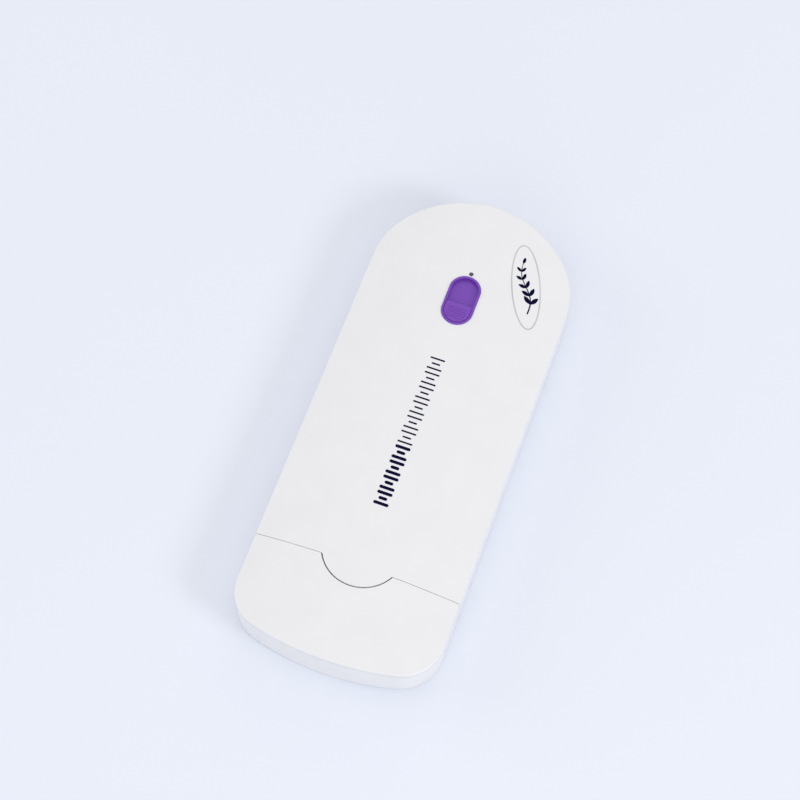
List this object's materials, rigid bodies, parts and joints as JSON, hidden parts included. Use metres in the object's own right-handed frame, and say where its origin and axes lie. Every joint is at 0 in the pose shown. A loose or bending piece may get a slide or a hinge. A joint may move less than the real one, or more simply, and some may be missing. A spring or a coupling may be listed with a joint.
{
  "type": "hair remover",
  "caption": "Slim rechargeable hair remover: a flat slab hand unit with a slide switch, a pull-off blade head lit by a light guide, and a slide-off end cap.",
  "frame": {"origin": "middle of the length and width, on the flat underside that the device lies on", "axes": "+X across the device, +Y from the cap to the round end, +Z out of the front face"},
  "size_m": [0.059, 0.145, 0.0155],
  "materials": {
    "white_shell": "satin, moulded",
    "white_cover": "satin, moulded",
    "white_cap": "satin, moulded",
    "neck_plastic": "matte, moulded",
    "purple_bezel": "satin",
    "purple_knob": "satin, ridged",
    "switch_metal": "stamped",
    "black_plastic": "matte",
    "lens_clear": "clear",
    "led_body": "clear yellow",
    "circuit_board": "solder mask",
    "port_steel": "plated",
    "chip_black": "matte epoxy",
    "capacitor_can": "brushed",
    "screw_steel": "zinc plated",
    "plug_rubber": "matte",
    "battery_wrap": "shrink wrap over a metal can",
    "nickel_tab": "nickel",
    "foam_cradle": "matte",
    "pin_steel": "ground",
    "motor_steel": "zinc plated",
    "motor_cap": "matte nylon",
    "bush_brass": "machined",
    "magnet": "sintered",
    "mount_rubber": "matte",
    "wire_red": "satin insulation",
    "wire_black": "satin insulation",
    "ribbon": "flat cable",
    "blue_led": "clear",
    "armature": "laminated",
    "copper": "turned",
    "gear_nylon": "acetal",
    "head_white": "satin",
    "guide_blue": "translucent",
    "foil_steel": "electroformed",
    "blade_steel": "ground",
    "drum_core": "matte"
  },
  "bodies": {
    "handset": {"back_shell": "white_shell", "front_cover": "white_cover", "neck_tray": "neck_plastic", "neck_lid": "neck_plastic", "switch_bezel": "purple_bezel", "slide_switch_body": "switch_metal", "indicator_lens": "lens_clear", "indicator_led": "led_body", "main_board": "circuit_board", "light_board": "circuit_board", "charge_port": "port_steel", "control_chip": "chip_black", "charger_chip": "chip_black", "skin_sensor_chip": "chip_black", "capacitors": "capacitor_can", "board_screws": "screw_steel", "case_screws": "screw_steel", "screw_plugs": "plug_rubber", "battery_cell": "battery_wrap", "battery_tabs": "nickel_tab", "battery_cradle": "foam_cradle", "gear_pins": "pin_steel", "motor_can": "motor_steel", "motor_end_cap": "motor_cap", "motor_bush": "bush_brass", "motor_magnets": "magnet", "motor_mounts": "mount_rubber", "motor_terminals": "nickel_tab", "motor_lead_red": "wire_red", "motor_lead_black": "wire_black", "battery_lead_red": "wire_red", "battery_lead_black": "wire_black", "led_ribbon": "ribbon", "blue_leds": "blue_led"},
    "cap": {"cap_shell": "white_cap"},
    "switch": {"switch_knob": "purple_knob", "switch_nub": "black_plastic"},
    "cassette": {"cassette_frame": "head_white", "light_guide": "guide_blue", "foil": "foil_steel", "drum_bushes": "bush_brass"},
    "drum": {"drum_blades": "blade_steel", "drum_core": "drum_core", "drum_axle": "pin_steel", "drum_gear": "gear_nylon"},
    "idler_a": {"idler_gear_a": "gear_nylon"},
    "idler_b": {"idler_gear_b": "gear_nylon"},
    "rotor": {"motor_shaft": "pin_steel", "motor_pinion": "bush_brass", "motor_armature": "armature", "motor_commutator": "copper"}
  },
  "joints": [
    {"name": "cassette_pull", "type": "slide", "parent": "handset", "child": "cassette", "axis": [0, -1, 0], "range_m": [0, 0.014]},
    {"name": "cap_slide", "type": "slide", "parent": "cassette", "child": "cap", "axis": [0, -1, 0], "range_m": [0, 0.035]},
    {"name": "switch_slide", "type": "slide", "parent": "handset", "child": "switch", "axis": [0, 1, 0], "range_m": [0, 0.0032]},
    {"name": "drum_spin", "type": "hinge", "parent": "cassette", "child": "drum", "pos_m": [0, -0.0639, 0.007], "axis": [1, 0, 0], "continuous": true},
    {"name": "idler_a_spin", "type": "hinge", "parent": "handset", "child": "idler_a", "pos_m": [0, -0.05744, 0.007], "axis": [1, 0, 0], "continuous": true},
    {"name": "idler_b_spin", "type": "hinge", "parent": "handset", "child": "idler_b", "pos_m": [0, -0.05098, 0.007], "axis": [1, 0, 0], "continuous": true},
    {"name": "motor_spin", "type": "hinge", "parent": "handset", "child": "rotor", "pos_m": [0, -0.04572, 0.007], "axis": [1, 0, 0], "continuous": true}
  ],
  "couplings": [
    {"joint": "idler_a_spin", "follows": "drum_spin", "ratio": -1},
    {"joint": "idler_b_spin", "follows": "drum_spin", "ratio": 1},
    {"joint": "motor_spin", "follows": "drum_spin", "ratio": -1.6}
  ]
}
